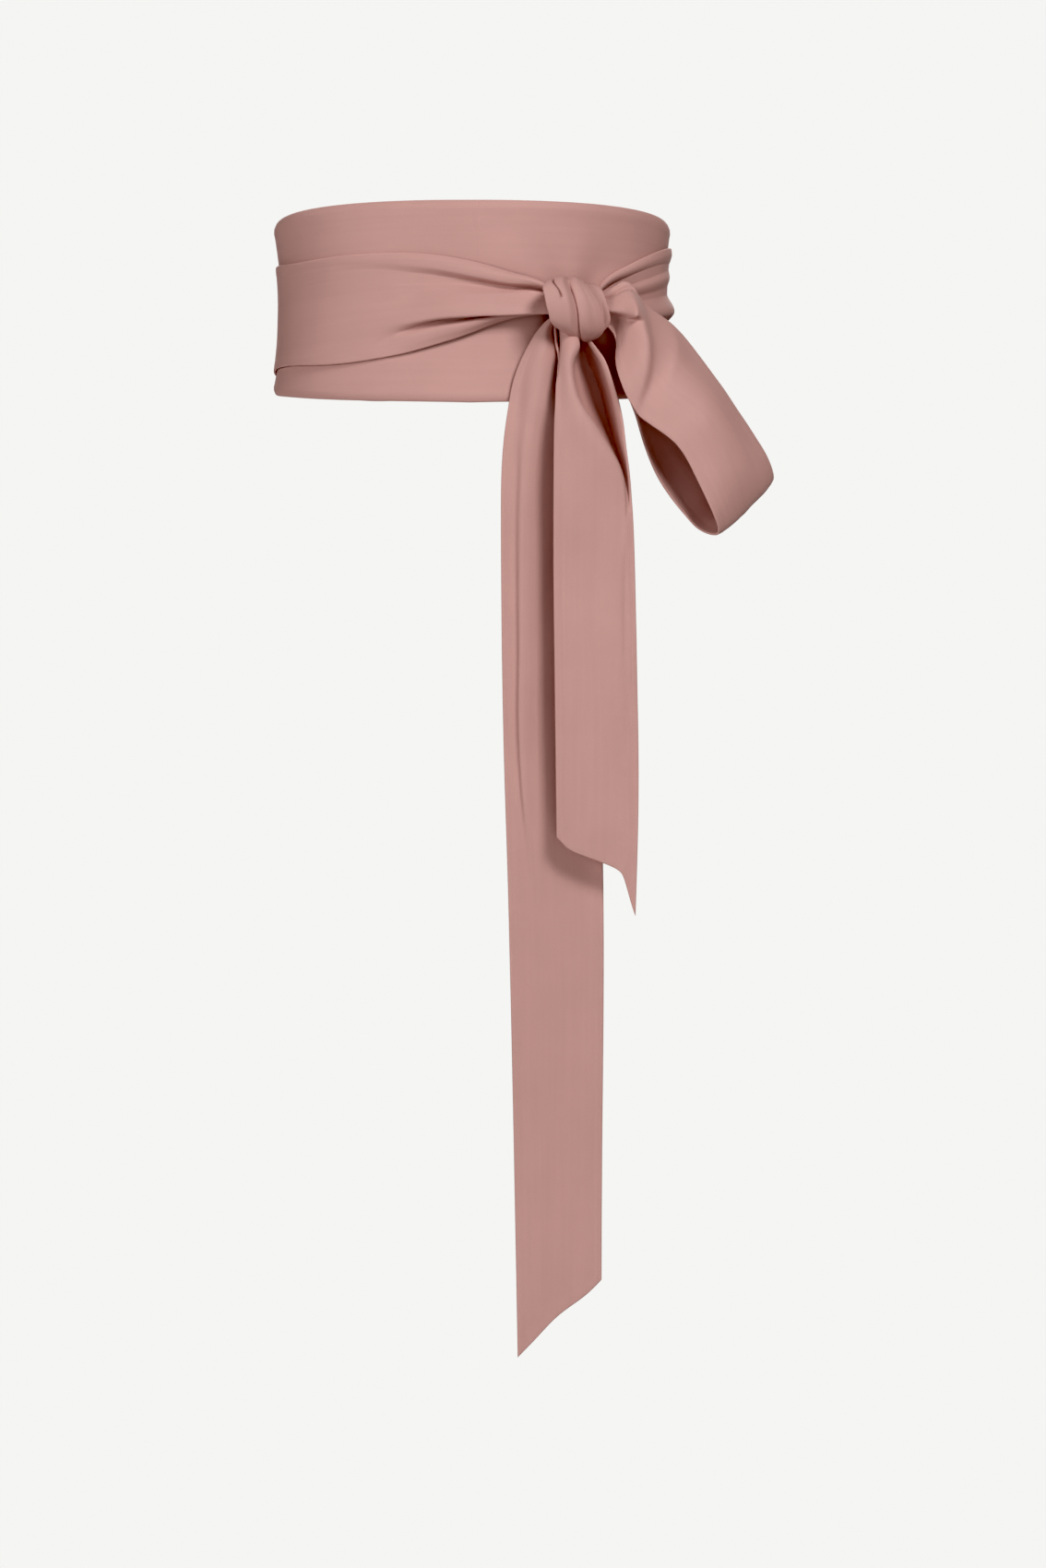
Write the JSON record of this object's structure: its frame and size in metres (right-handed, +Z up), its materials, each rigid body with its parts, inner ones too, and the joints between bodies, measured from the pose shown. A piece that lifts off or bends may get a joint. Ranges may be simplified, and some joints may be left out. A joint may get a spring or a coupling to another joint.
{
  "type": "tie belt",
  "caption": "Wide wrap belt in soft crepe, tapered panel and crossed ties, tied at the front in a half bow with a loop and slanted tails, in its worn hollow form.",
  "frame": {"origin": "middle of the waist that holds the belt, at half the height of the panel's front", "axes": "+Z up along the wearer's trunk; -Y to the front, where the knot is; +X to the viewer's right"},
  "size_m": [0.3364, 0.2206, 0.7606],
  "materials": {
    "rose_crepe": "satin-backed crepe, soft low sheen"
  },
  "bodies": {
    "root": {"panel": "rose_crepe", "left_wrap": "rose_crepe", "right_wrap": "rose_crepe", "knot_core": "rose_crepe", "knot_front": "rose_crepe", "knot_side": "rose_crepe", "loop": "rose_crepe", "long_tail": "rose_crepe", "short_tail": "rose_crepe"}
  },
  "joints": []
}
